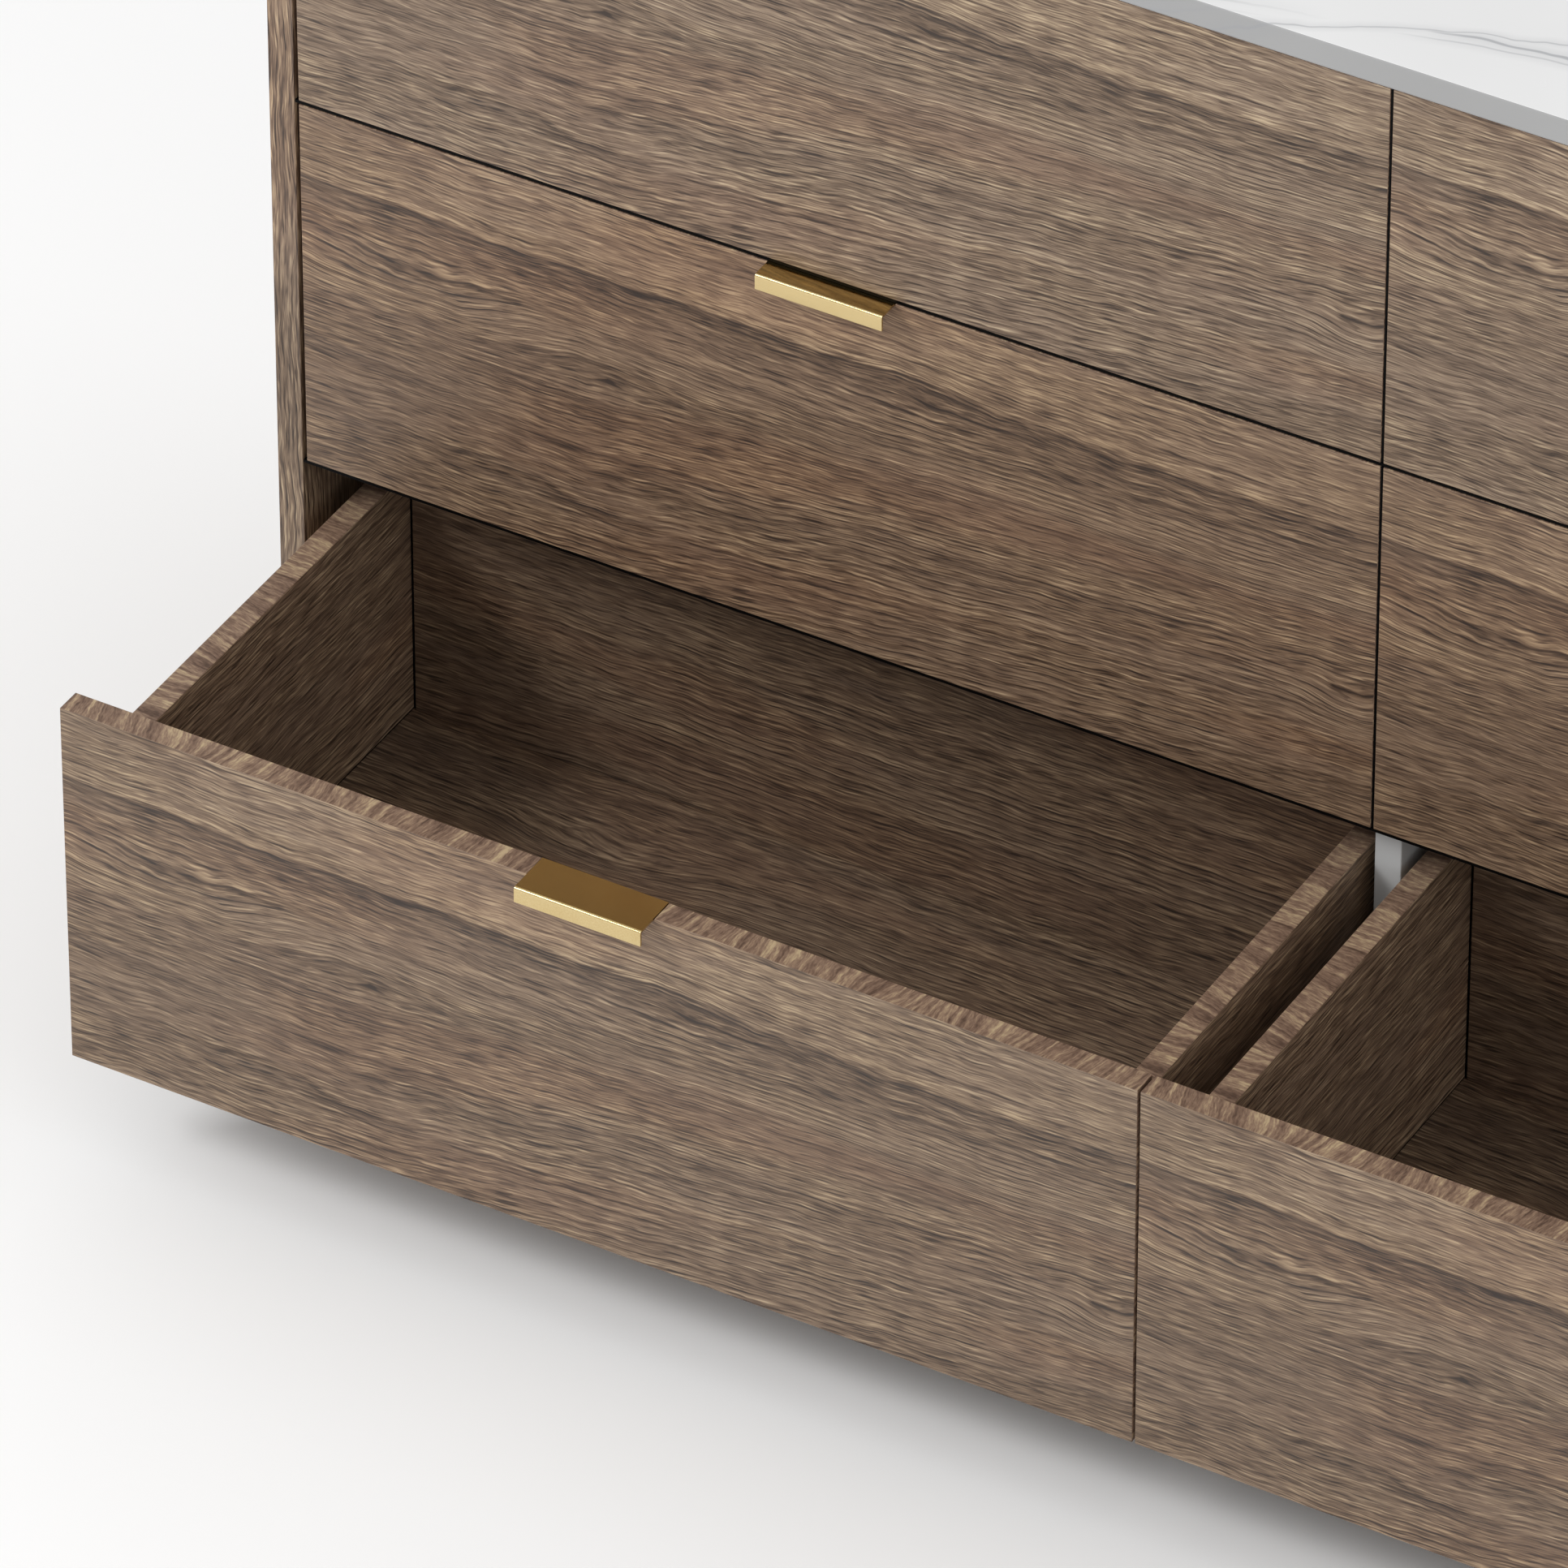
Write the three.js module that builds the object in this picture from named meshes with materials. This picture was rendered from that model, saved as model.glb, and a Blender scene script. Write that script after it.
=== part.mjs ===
// Bathroom vanity cabinet: two columns of three drawers under a thin stone counter.
// Millimetres, +Z up. The drawers open towards -Y and the wall is on the +Y side.
// The origin is on the floor at the middle of the cabinet's footprint, under the centre foot.
import * as THREE from 'three';

// ---- Driving dimensions ----
const OVERALL_HEIGHT = 900;
const CABINET_WIDTH = 1524; // over the side panels
const CABINET_DEPTH = 480; // from the closed drawer faces to the back
const JOINT_GAP = 0.3; // left between two fixed pieces that meet

const PANEL_THICKNESS = 18; // side panels, divider and top rail
const FLOOR_THICKNESS = 16;
const BACK_THICKNESS = 12;
const COUNTER_THICKNESS = 18;
const COUNTER_OVERHANG = 3; // past the drawer faces and the side panels
const DIVIDER_SETBACK = 22; // its front edge, behind the drawer faces
const FLOOR_SETBACK = 20;
const TOP_RAIL_DEPTH = 90;

const SERVICE_HOLE_WIDTH = 420; // holes in the back panel for pipes and valves
const SERVICE_HOLE_HEIGHT = 240;
const SERVICE_HOLE_BOTTOM = 480; // above the floor
const SERVICE_HOLE_RADIUS = 20;

const FRONT_HEIGHT = 266;
const FRONT_THICKNESS = 18;
const SIDE_GAP = 3; // between a front and a side panel
const COLUMN_GAP = 2;
const ROW_GAP = 3;
const TOP_GAP = 2; // between the top fronts and the counter
const BOTTOM_REVEAL = 2; // side panels go this far below the lowest fronts

const BOX_INSET = 15; // box side, in from the end of its front
const BOX_LENGTH = 351; // behind the front
const BOX_SIDE_THICKNESS = 17;
const BOX_BOTTOM_THICKNESS = 10;
const BOX_SIDE_DROP = 35; // box top, below the top of the front
const BOX_SIDE_HEIGHT = 209;
const BOX_INNER_HEIGHT = 185; // box top down to the bottom board
const GROOVE_DEPTH = 6; // in the box sides, for the bottom board

const PULL_LENGTH = 87;
const PULL_PROJECTION = 15.5; // in front of the drawer face
const PULL_LIP_HEIGHT = 11;
const PULL_SHEET = 1.6;
const PULL_OUTER_RADIUS = 1.8;
const PULL_BEND_STEPS = 6;
const PULL_REBATE = 1.2; // how far the pull is let into the top edge of the front
const PULL_BED_GAP = 0.1; // under the plate
const PULL_END_GAP = 0.3; // at each end of the rebate

const RAIL_LENGTH = 350;
const RAIL_SETBACK = 25; // front end of a rail, behind the drawer faces
const RAIL_SHEET = 1.5;
const RAIL_RISE = 16; // underside of a rail, above the bottom of its front
const RAIL_WEB_HEIGHT = 40;
const RAIL_LIP_HEIGHT = 14;
const RAIL_TRACK_WIDTH = 20; // from the inner face of the box side to the rail's lip

const FOOT_TOP_SIZE = 50;
const FOOT_BASE_SIZE = 36;
const FOOT_INSET = 8; // foot top, in from the carcass faces

const OPEN_DISTANCE = 285.5; // how far the bottom drawers stand open

// ---- Derived dimensions ----
const COLUMN_PITCH = (CABINET_WIDTH - 2 * (PANEL_THICKNESS + SIDE_GAP) + COLUMN_GAP) / 2;
const FRONT_WIDTH = COLUMN_PITCH - COLUMN_GAP;
const ROW_PITCH = FRONT_HEIGHT + ROW_GAP;
const CARCASS_HEIGHT = BOTTOM_REVEAL + 3 * FRONT_HEIGHT + 2 * ROW_GAP + TOP_GAP;
const COUNTER_BOTTOM = OVERALL_HEIGHT - COUNTER_THICKNESS;
const CARCASS_BOTTOM = COUNTER_BOTTOM - CARCASS_HEIGHT;
const FACE_Y = -CABINET_DEPTH / 2;
const REAR_Y = CABINET_DEPTH / 2;
const OUTER_X = CABINET_WIDTH / 2;
const INNER_X = OUTER_X - PANEL_THICKNESS;
const BACK_FACE_Y = REAR_Y - BACK_THICKNESS;
const BOX_HALF_WIDTH = FRONT_WIDTH / 2 - BOX_INSET;

const COLUMNS = [
  { name: 'left', centreX: -COLUMN_PITCH / 2 },
  { name: 'right', centreX: COLUMN_PITCH / 2 },
];
const ROWS = [
  { name: 'bottom', level: 0, open: OPEN_DISTANCE },
  { name: 'middle', level: 1, open: 0 },
  { name: 'top', level: 2, open: 0 },
];

// ---- Materials ----
function finish(color, roughness, metalness = 0) {
  return new THREE.MeshStandardMaterial({ color, roughness, metalness });
}

const materials = {
  walnut: finish(0x826e5d, 0.55),
  boxWalnut: finish(0x6b5647, 0.6),
  footWalnut: finish(0x5a4638, 0.5),
  greyBoard: finish(0xb9b9b6, 0.4),
  stone: finish(0xe9ebec, 0.2),
  brass: finish(0xc9a15a, 0.28, 1),
  zinc: finish(0xb4b8bb, 0.35, 1),
};

// ---- Shape helpers ----
/** A rectangular board between two X, two Y and two Z planes. */
function board(name, material, [x0, x1], [y0, y1], [z0, z1]) {
  const mesh = new THREE.Mesh(new THREE.BoxGeometry(x1 - x0, y1 - y0, z1 - z0), material);
  mesh.position.set((x0 + x1) / 2, (y0 + y1) / 2, (z0 + z1) / 2);
  mesh.name = name;
  return mesh;
}

function outline(points) {
  return new THREE.Shape(points.map(([u, v]) => new THREE.Vector2(u, v)));
}

/** An (x, z) outline, made solid from y0 to y1. */
function solidAlongY(name, material, shape, [y0, y1]) {
  const geometry = new THREE.ExtrudeGeometry(shape, { depth: y1 - y0, bevelEnabled: false });
  const xAxis = new THREE.Vector3(1, 0, 0);
  const zAxis = new THREE.Vector3(0, 0, 1);
  geometry.applyMatrix4(new THREE.Matrix4().makeBasis(xAxis, zAxis, new THREE.Vector3(0, -1, 0)));
  const mesh = new THREE.Mesh(geometry, material);
  mesh.position.y = y1;
  mesh.name = name;
  return mesh;
}

/** A (y, z) outline, made solid from x0 to x1. */
function solidAlongX(name, material, shape, [x0, x1]) {
  const geometry = new THREE.ExtrudeGeometry(shape, { depth: x1 - x0, bevelEnabled: false });
  const xAxis = new THREE.Vector3(1, 0, 0);
  const yAxis = new THREE.Vector3(0, 1, 0);
  geometry.applyMatrix4(new THREE.Matrix4().makeBasis(yAxis, new THREE.Vector3(0, 0, 1), xAxis));
  const mesh = new THREE.Mesh(geometry, material);
  mesh.position.x = x0;
  mesh.name = name;
  return mesh;
}

/** A rectangular hole with rounded corners, in (x, z). */
function roundedHole(centreX, bottomZ, width, height, radius) {
  const [x0, x1] = [centreX - width / 2, centreX + width / 2];
  const [z0, z1] = [bottomZ, bottomZ + height];
  const hole = new THREE.Path();
  hole.moveTo(x0 + radius, z0);
  hole.lineTo(x1 - radius, z0);
  hole.absarc(x1 - radius, z0 + radius, radius, -Math.PI / 2, 0);
  hole.lineTo(x1, z1 - radius);
  hole.absarc(x1 - radius, z1 - radius, radius, 0, Math.PI / 2);
  hole.lineTo(x0 + radius, z1);
  hole.absarc(x0 + radius, z1 - radius, radius, Math.PI / 2, Math.PI);
  hole.lineTo(x0, z0 + radius);
  hole.absarc(x0 + radius, z0 + radius, radius, Math.PI, 1.5 * Math.PI);
  return hole;
}

// ---- Carcass ----
function sidePanels() {
  const y = [FACE_Y, REAR_Y];
  const z = [CARCASS_BOTTOM, COUNTER_BOTTOM - JOINT_GAP];
  return [
    board('left_side_panel', materials.walnut, [-OUTER_X, -INNER_X], y, z),
    board('right_side_panel', materials.walnut, [INNER_X, OUTER_X], y, z),
  ];
}

function cabinetFloor() {
  const x = [-INNER_X + JOINT_GAP, INNER_X - JOINT_GAP];
  const y = [FACE_Y + FLOOR_SETBACK, BACK_FACE_Y - JOINT_GAP];
  return board('cabinet_floor', materials.boxWalnut, x, y, [CARCASS_BOTTOM, CARCASS_BOTTOM + FLOOR_THICKNESS]);
}

/** The divider's top front corner is notched around the top rail. */
function centreDivider() {
  const y0 = FACE_Y + DIVIDER_SETBACK;
  const y1 = BACK_FACE_Y - JOINT_GAP;
  const z0 = CARCASS_BOTTOM + FLOOR_THICKNESS + JOINT_GAP;
  const z1 = COUNTER_BOTTOM - JOINT_GAP;
  const notchY = y0 + TOP_RAIL_DEPTH + JOINT_GAP;
  const notchZ = z1 - PANEL_THICKNESS - JOINT_GAP;
  const shape = outline([[y0, z0], [y1, z0], [y1, z1], [notchY, z1], [notchY, notchZ], [y0, notchZ]]);
  return solidAlongX('centre_divider', materials.greyBoard, shape, [-PANEL_THICKNESS / 2, PANEL_THICKNESS / 2]);
}

function frontTopRail() {
  const x = [-INNER_X + JOINT_GAP, INNER_X - JOINT_GAP];
  const y0 = FACE_Y + DIVIDER_SETBACK;
  const z1 = COUNTER_BOTTOM - JOINT_GAP;
  return board('front_top_rail', materials.boxWalnut, x, [y0, y0 + TOP_RAIL_DEPTH], [z1 - PANEL_THICKNESS, z1]);
}

function backPanel() {
  const x1 = INNER_X - JOINT_GAP;
  const z1 = COUNTER_BOTTOM - JOINT_GAP;
  const shape = outline([[-x1, CARCASS_BOTTOM], [x1, CARCASS_BOTTOM], [x1, z1], [-x1, z1]]);
  for (const column of COLUMNS) {
    shape.holes.push(roundedHole(
      column.centreX, SERVICE_HOLE_BOTTOM, SERVICE_HOLE_WIDTH, SERVICE_HOLE_HEIGHT, SERVICE_HOLE_RADIUS,
    ));
  }
  return solidAlongY('back_panel', materials.boxWalnut, shape, [BACK_FACE_Y, REAR_Y]);
}

function countertop() {
  const halfWidth = OUTER_X + COUNTER_OVERHANG;
  const y = [FACE_Y - COUNTER_OVERHANG, REAR_Y];
  return board('countertop', materials.stone, [-halfWidth, halfWidth], y, [COUNTER_BOTTOM, OVERALL_HEIGHT]);
}

/** A square foot that tapers towards the floor. */
function foot(name, x, y) {
  const height = CARCASS_BOTTOM - JOINT_GAP;
  const diagonal = Math.SQRT1_2; // a four-sided cylinder's radius, for a side of 1
  const geometry = new THREE.CylinderGeometry(FOOT_TOP_SIZE * diagonal, FOOT_BASE_SIZE * diagonal, height, 4);
  geometry.rotateY(Math.PI / 4);
  geometry.rotateX(Math.PI / 2);
  const mesh = new THREE.Mesh(geometry, materials.footWalnut);
  mesh.position.set(x, y, height / 2);
  mesh.name = name;
  return mesh;
}

function feet() {
  const reach = FOOT_INSET + FOOT_TOP_SIZE / 2;
  const x = OUTER_X - reach;
  const frontY = FACE_Y + FLOOR_SETBACK + reach;
  const rearY = REAR_Y - reach;
  return [
    foot('front_left_foot', -x, frontY),
    foot('front_right_foot', x, frontY),
    foot('rear_left_foot', -x, rearY),
    foot('rear_right_foot', x, rearY),
    foot('centre_foot', 0, 0),
  ];
}

/**
 * A bent steel rail on a wall of the cabinet at wallX. Its web is on the wall, and its leg passes under
 * the box side and ends in a lip, so that the drawer's own member runs between the box side and the lip.
 * inward is +1 where the drawer is on the +X side of the wall, and -1 where it is on the -X side.
 */
function rail(name, wallX, inward, boxFaceX, bottomZ) {
  const web0 = JOINT_GAP;
  const web1 = web0 + RAIL_SHEET;
  const leg1 = Math.abs(boxFaceX - wallX) + BOX_SIDE_THICKNESS + RAIL_TRACK_WIDTH;
  const lip0 = leg1 - RAIL_SHEET;
  const z0 = bottomZ + RAIL_RISE;
  const z1 = z0 + RAIL_SHEET;
  const section = [
    [web0, z0], [leg1, z0], [leg1, z0 + RAIL_LIP_HEIGHT], [lip0, z0 + RAIL_LIP_HEIGHT],
    [lip0, z1], [web1, z1], [web1, z0 + RAIL_WEB_HEIGHT], [web0, z0 + RAIL_WEB_HEIGHT],
  ];
  const shape = outline(section.map(([u, z]) => [wallX + inward * u, z]));
  const y0 = FACE_Y + RAIL_SETBACK;
  return solidAlongY(name, materials.zinc, shape, [y0, y0 + RAIL_LENGTH]);
}

function rails() {
  const meshes = [];
  for (const row of ROWS) {
    const bottomZ = CARCASS_BOTTOM + BOTTOM_REVEAL + row.level * ROW_PITCH;
    for (const column of COLUMNS) {
      const isLeft = column.centreX < 0;
      const leftWall = isLeft ? -INNER_X : PANEL_THICKNESS / 2;
      const rightWall = isLeft ? -PANEL_THICKNESS / 2 : INNER_X;
      const name = `${row.name}_${column.name}`;
      meshes.push(rail(`${name}_left_rail`, leftWall, 1, column.centreX - BOX_HALF_WIDTH, bottomZ));
      meshes.push(rail(`${name}_right_rail`, rightWall, -1, column.centreX + BOX_HALF_WIDTH, bottomZ));
    }
  }
  return meshes;
}

// ---- Drawers ----
// A drawer's own frame has its origin at the middle of the bottom edge of its front's outer face.

/** The front's top edge is rebated in the middle for the pull. */
function drawerFront(name) {
  const x1 = FRONT_WIDTH / 2;
  const rebateX = PULL_LENGTH / 2 + PULL_END_GAP;
  const rebateZ = FRONT_HEIGHT - PULL_REBATE;
  const shape = outline([
    [-x1, 0], [x1, 0], [x1, FRONT_HEIGHT], [rebateX, FRONT_HEIGHT],
    [rebateX, rebateZ], [-rebateX, rebateZ], [-rebateX, FRONT_HEIGHT], [-x1, FRONT_HEIGHT],
  ]);
  return solidAlongY(`${name}_front`, materials.walnut, shape, [0, FRONT_THICKNESS]);
}

const BOX_TOP = FRONT_HEIGHT - BOX_SIDE_DROP;
const BOX_BOTTOM = BOX_TOP - BOX_SIDE_HEIGHT;
const BOX_FLOOR_TOP = BOX_TOP - BOX_INNER_HEIGHT;
const BOX_FLOOR_BOTTOM = BOX_FLOOR_TOP - BOX_BOTTOM_THICKNESS;
const BOX_START_Y = FRONT_THICKNESS + JOINT_GAP;
const BOX_END_Y = FRONT_THICKNESS + BOX_LENGTH;
const BOX_BACK_Y = BOX_END_Y - BOX_SIDE_THICKNESS;

/** A box side with a groove along its inner face. side is -1 on the left and +1 on the right. */
function boxSide(name, side) {
  const outer = BOX_HALF_WIDTH;
  const inner = outer - BOX_SIDE_THICKNESS;
  const groove = inner + GROOVE_DEPTH;
  const grooveTop = BOX_FLOOR_TOP + JOINT_GAP;
  const grooveBottom = BOX_FLOOR_BOTTOM - JOINT_GAP;
  const section = [
    [outer, BOX_BOTTOM], [outer, BOX_TOP], [inner, BOX_TOP], [inner, grooveTop],
    [groove, grooveTop], [groove, grooveBottom], [inner, grooveBottom], [inner, BOX_BOTTOM],
  ];
  const shape = outline(section.map(([x, z]) => [side * x, z]));
  return solidAlongY(name, materials.boxWalnut, shape, [BOX_START_Y, BOX_END_Y]);
}

function boxBack(name) {
  const x1 = BOX_HALF_WIDTH - BOX_SIDE_THICKNESS - JOINT_GAP;
  const z = [BOX_FLOOR_TOP + JOINT_GAP, BOX_TOP];
  return board(`${name}_back`, materials.boxWalnut, [-x1, x1], [BOX_BACK_Y, BOX_END_Y], z);
}

function boxBottom(name) {
  const x1 = BOX_HALF_WIDTH - BOX_SIDE_THICKNESS + GROOVE_DEPTH - JOINT_GAP;
  const z = [BOX_FLOOR_BOTTOM, BOX_FLOOR_TOP];
  return board(`${name}_bottom`, materials.boxWalnut, [-x1, x1], [BOX_START_Y, BOX_END_Y], z);
}

/** An edge pull: a brass plate on the front's top edge, bent down into a lip in front of the face. */
function pull(name) {
  const top = FRONT_HEIGHT - PULL_REBATE + PULL_BED_GAP + PULL_SHEET;
  const frontY = -PULL_PROJECTION;
  const bendY = frontY + PULL_OUTER_RADIUS;
  const bendZ = top - PULL_OUTER_RADIUS;
  const shape = new THREE.Shape();
  shape.moveTo(FRONT_THICKNESS, top);
  shape.lineTo(bendY, top);
  for (let step = 1; step <= PULL_BEND_STEPS; step += 1) {
    const angle = Math.PI / 2 + (step / PULL_BEND_STEPS) * (Math.PI / 2);
    shape.lineTo(bendY + PULL_OUTER_RADIUS * Math.cos(angle), bendZ + PULL_OUTER_RADIUS * Math.sin(angle));
  }
  shape.lineTo(frontY, top - PULL_LIP_HEIGHT);
  shape.lineTo(frontY + PULL_SHEET, top - PULL_LIP_HEIGHT);
  shape.lineTo(frontY + PULL_SHEET, top - PULL_SHEET);
  shape.lineTo(FRONT_THICKNESS, top - PULL_SHEET);
  return solidAlongX(`${name}_pull`, materials.brass, shape, [-PULL_LENGTH / 2, PULL_LENGTH / 2]);
}

function drawer(name) {
  const group = new THREE.Group();
  group.add(
    drawerFront(name),
    boxSide(`${name}_left_side`, -1),
    boxSide(`${name}_right_side`, 1),
    boxBack(name),
    boxBottom(name),
    pull(name),
  );
  return group;
}

function drawers() {
  const group = new THREE.Group();
  for (const row of ROWS) {
    for (const column of COLUMNS) {
      const oneDrawer = drawer(`${row.name}_${column.name}`);
      const z = CARCASS_BOTTOM + BOTTOM_REVEAL + row.level * ROW_PITCH;
      oneDrawer.position.set(column.centreX, FACE_Y - row.open, z);
      group.add(oneDrawer);
    }
  }
  return group;
}

const vanityCabinet = new THREE.Group();
vanityCabinet.add(
  ...sidePanels(),
  cabinetFloor(),
  centreDivider(),
  frontTopRail(),
  backPanel(),
  countertop(),
  ...feet(),
  ...rails(),
  drawers(),
);

export default vanityCabinet;
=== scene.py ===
"""Looks of the bathroom vanity cabinet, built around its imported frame.

Metres, in the frame's own axes: the drawers open towards -Y and +Z is up. Every piece takes its place
from the CAD node that it replaces or stands beside.
"""

import math

import bmesh
import bpy
from mathutils import Matrix, Vector


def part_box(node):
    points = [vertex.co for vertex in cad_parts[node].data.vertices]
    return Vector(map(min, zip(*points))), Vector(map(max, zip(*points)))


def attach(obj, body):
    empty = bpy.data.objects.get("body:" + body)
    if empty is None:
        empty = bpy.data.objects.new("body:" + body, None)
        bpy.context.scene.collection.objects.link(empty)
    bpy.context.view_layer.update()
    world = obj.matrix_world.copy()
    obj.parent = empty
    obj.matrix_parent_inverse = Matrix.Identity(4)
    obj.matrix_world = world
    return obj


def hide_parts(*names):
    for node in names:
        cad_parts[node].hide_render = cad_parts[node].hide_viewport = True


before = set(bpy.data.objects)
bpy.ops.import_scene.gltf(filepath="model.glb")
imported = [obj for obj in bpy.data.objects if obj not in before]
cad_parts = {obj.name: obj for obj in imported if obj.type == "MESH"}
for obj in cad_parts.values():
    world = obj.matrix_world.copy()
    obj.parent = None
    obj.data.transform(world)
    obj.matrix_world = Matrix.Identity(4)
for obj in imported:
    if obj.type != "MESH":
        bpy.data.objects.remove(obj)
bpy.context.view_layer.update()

MM = 0.001
X, Y, Z = 0, 1, 2
COLUMNS = ("left", "right")
ROWS = ("bottom", "middle", "top")
SIDES = (("left", -1), ("right", 1))

# ---- Dimensions that the frame doesn't give ----
FRONT_BEVEL = 0.4 * MM
BOARD_BEVEL = 0.7 * MM
STONE_BEVEL = 1.2 * MM
PULL_SHEET = 1.6 * MM
PULL_INNER_RADIUS = 0.5 * MM
PULL_EDGE = 0.22 * MM
PULL_REBATE = 1.2 * MM  # how far the pull is let into the front
PULL_END_GAP = 0.3 * MM
JOINT_GAP = 0.3 * MM
# Black strips and beads are painted shade: they make the narrow gaps and joints read as deep shadow.
STRIP_HEIGHT = 1.9 * MM
STRIP_CLEARANCE = 0.4 * MM
STRIP_SETBACK = 0.4 * MM
STRIP_DEPTH = 16 * MM
GROOVE_DEPTH = 6 * MM
SHADOW_JOINT = 1.4 * MM  # extra play at the inner corners of the drawer boxes
BEAD_SIZE = 1.1 * MM
BEAD_CLEARANCE = 0.25 * MM
BEAD_SETBACK = 0.5 * MM
PANEL_THICKNESS = 18 * MM
TOP_RAIL_DEPTH = 90 * MM
RAIL_SHEET = 1.5 * MM
RAIL_LEG_RISE = 14 * MM
MEMBER_WIDTH = 14 * MM
RAIL_BEND_RADIUS = 1.2 * MM
MEMBER_BEND_RADIUS = 1.0 * MM
MEMBER_SIDE_GAP = 1.5 * MM  # between a box side's inner face and the member beside it
MEMBER_HEAD_GAP = 0.3 * MM  # between the member and the bottom board over it
MEMBER_FOOT_GAP = 1.2 * MM  # between the member and the rail under it
MEMBER_SETBACKS = (4 * MM, 2 * MM)  # from the box side's front and rear ends
WHEEL_RISE = 6.4 * MM  # of the wheel's axle, above the member's foot
WHEEL_WIDTH = 6 * MM
WHEEL_SETBACK = 12 * MM
RAIL_SCREW_SETBACKS = (30 * MM, 160 * MM)  # from the rail's front end
RAIL_REAR_SCREW = 40 * MM  # from the rail's rear end
RAIL_SCREW_DROP = 9 * MM
HOLE_SIZE = (420 * MM, 240 * MM)
HOLE_BOTTOM = 480 * MM
HOLE_RADIUS = 20 * MM
BACK_SCREW_STEPS = 6  # the divider's five screws part the back's height into so many
BACK_SCREW_PLACES = (-0.46, -0.29, -0.12, 0.12, 0.29, 0.46)  # along the floor, in shares of the width
BOX_SCREW_PLACES = (0.2, 0.5, 0.8)  # up the box back, in shares of its height
FOOT_BASE_HALF = 18 * MM
FOOT_CORNER = 2.5 * MM
FOOT_BEVEL = 0.8 * MM
GLIDE_HEIGHT = 5 * MM
BUFFER_INSET = 4.6 * MM
BUFFER_RISE = 40 * MM
BUFFER_DROP = 60 * MM
UPRIGHT_RISE = 10 * MM  # an edge of a foot that rises more is one of its corners
SHORT_EDGE = 2 * MM  # edges of a front up to this long stay sharp
TOLERANCE = 0.1 * MM
SHARP_ANGLE = 40  # degrees over which an edge is rounded
BACK_SCREW_SIZE = 0.75  # in shares of the SCREW_HEAD profile
BOX_SCREW_SIZE = 0.7
RAIL_SCREW_SIZE = 0.8

# ---- Turned profiles, as (radius, height) in millimetres ----
SCREW_HEAD = (
    (0.0, -0.2), (3.6, -0.2), (3.7, 0.0), (3.4, 0.5), (2.4, 0.95), (1.5, 1.05), (1.35, 0.9),
    (1.2, 0.35), (0.0, 0.3),
)
GLIDE = ((0, 0), (14, 0), (16, 1), (16.4, 2.5), (16, 4), (13, 4.6), (5, 5.2), (0, 5.2))
WHEEL = ((0, 0), (5.6, 0), (6.2, 0.6), (6.2, 5.4), (5.6, 6), (0, 6))
BUFFER = ((0, -0.1), (3.6, -0.1), (3.7, 0.6), (3.3, 1.7), (2.2, 2.4), (0, 2.7))

# ---- Camera, fitted to the edges of the drawers and the counter ----
CAMERA_PLACE = (3.43407, -6.87833, 6.08376)
CAMERA_AZIMUTH = 30.032
CAMERA_ELEVATION = 37.386
CAMERA_ROLL = 0.050
CAMERA_LENS = 363.74
SENSOR_WIDTH = 36.0

# ---- Light and floor ----
DOME_STRENGTH = 0.80
# Lights: (name, place, target, size, power).
LIGHTS = (
    ("key_light", (-3.4, -3.4, 3.9), (0.0, -0.3, 0.3), 1.6, 130.0),
    ("fill_light", (3.4, -2.6, 2.4), (0.0, -0.2, 0.4), 2.5, 14.0),
)
FLOOR_REACH = 25.0
FLOOR_THICKNESS = 0.05


# ---- Shader helpers ----
def linear(rgb):
    """0-255 screen values as linear light."""
    return tuple((c / 255 / 12.92) if c < 10.3 else ((c / 255 + 0.055) / 1.055) ** 2.4 for c in rgb)


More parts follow.
